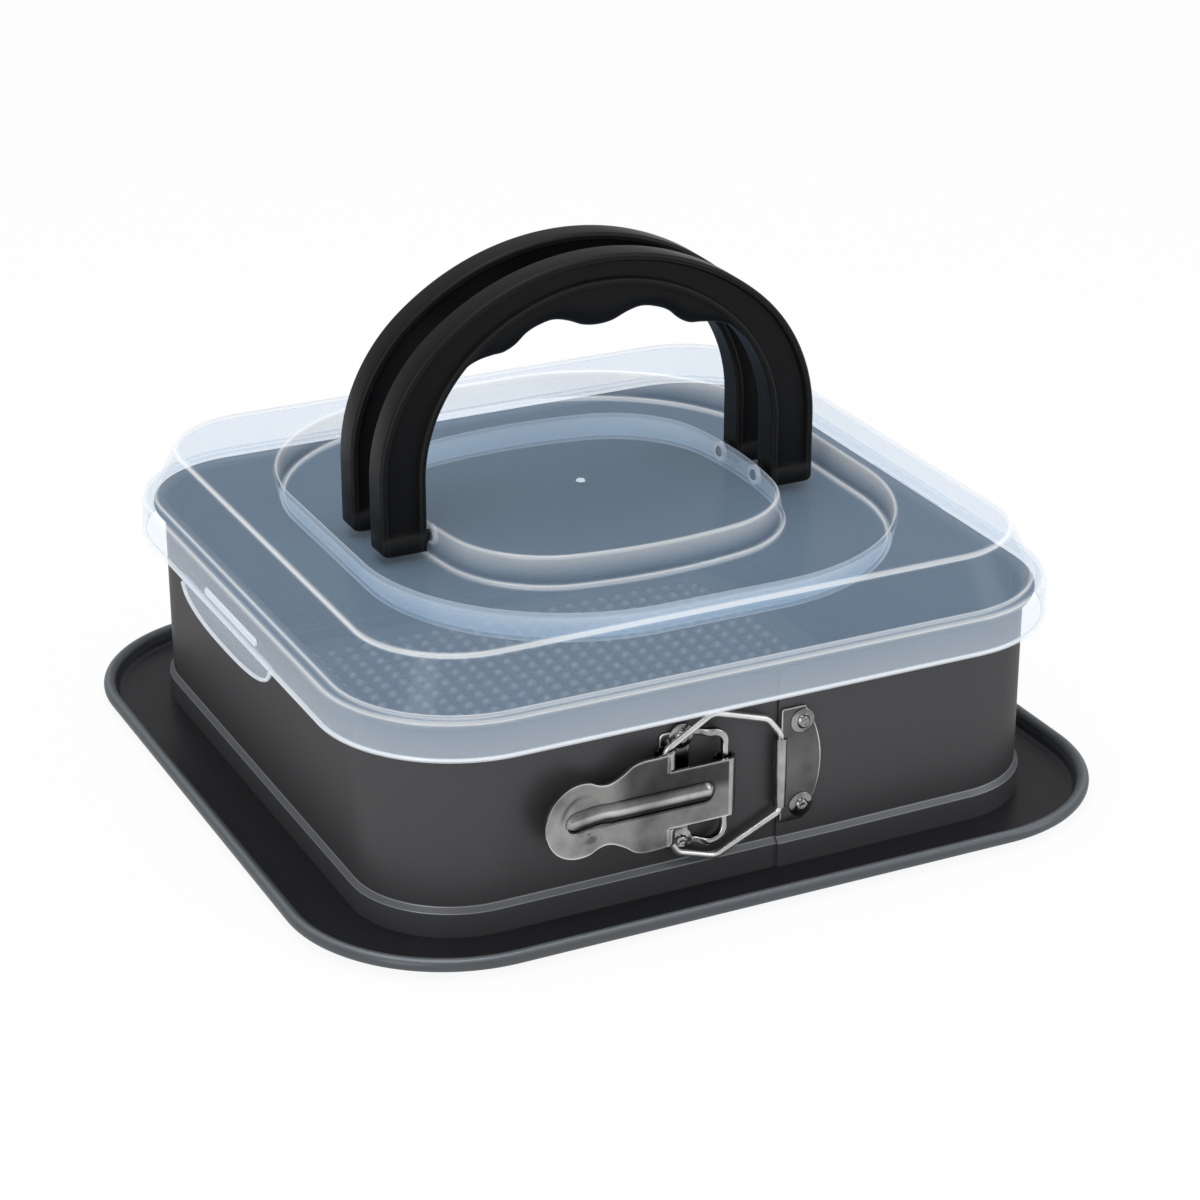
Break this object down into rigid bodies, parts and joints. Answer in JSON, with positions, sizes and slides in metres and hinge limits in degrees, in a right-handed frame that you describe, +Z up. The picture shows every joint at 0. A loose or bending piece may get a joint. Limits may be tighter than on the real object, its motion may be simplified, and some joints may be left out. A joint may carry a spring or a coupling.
{
  "type": "square springform pan with cover",
  "caption": "Square springform baking pan on a wide rimmed base tray, with a toggle latch on the ring and a translucent push-fit cover with folding carry handles.",
  "frame": {"origin": "centre of the base tray's underside, on the surface that the pan rests on", "axes": "+X along the side with the latch, from the lever's thumb end towards the keeper; +Y away from the latch side; +Z up"},
  "size_m": [0.2896, 0.2848, 0.181],
  "materials": {
    "coated_steel": "dark grey non-stick coating, satin",
    "plated_steel": "stamped sheet, nickel plated, bright",
    "bright_wire": "bright plated wire",
    "translucent_plastic": "milky translucent moulding with a soft gloss",
    "black_plastic": "fine satin moulding"
  },
  "bodies": {
    "tray": {"base_tray": "coated_steel"},
    "ring": {"springform_ring": "coated_steel", "latch_bracket": "plated_steel", "keeper_plate": "plated_steel", "upper_bracket_rivet": "plated_steel", "lower_bracket_rivet": "plated_steel", "upper_keeper_rivet": "plated_steel", "lower_keeper_rivet": "plated_steel"},
    "lever": {"latch_lever": "plated_steel"},
    "bail": {"latch_bail": "bright_wire"},
    "lid": {"cover": "translucent_plastic"},
    "front_grip": {"front_handle": "black_plastic"},
    "rear_grip": {"rear_handle": "black_plastic"}
  },
  "joints": [
    {"name": "ring_lift", "type": "slide", "parent": "tray", "child": "ring", "axis": [0, 0, 1], "range_m": [0, 0.1]},
    {"name": "cover_lift", "type": "slide", "parent": "ring", "child": "lid", "axis": [0, 0, 1], "range_m": [0, 0.12]},
    {"name": "latch_open", "type": "hinge", "parent": "ring", "child": "lever", "pos_m": [-0.0082, -0.1213, 0.037], "axis": [0, 0, 1], "range_deg": [0, 100]},
    {"name": "bail_swing", "type": "hinge", "parent": "ring", "child": "bail", "pos_m": [0.0125, -0.12056, 0.037], "axis": [0, 0, 1], "range_deg": [0, 35]},
    {"name": "front_handle_fold", "type": "hinge", "parent": "lid", "child": "front_grip", "pos_m": [0, -0.0126, 0.0916], "axis": [1, 0, 0], "range_deg": [0, 90]},
    {"name": "rear_handle_fold", "type": "hinge", "parent": "lid", "child": "rear_grip", "pos_m": [0, 0.0126, 0.0916], "axis": [-1, 0, 0], "range_deg": [0, 90]}
  ],
  "couplings": [
    {"joint": "bail_swing", "follows": "latch_open", "ratio": 0.34}
  ]
}
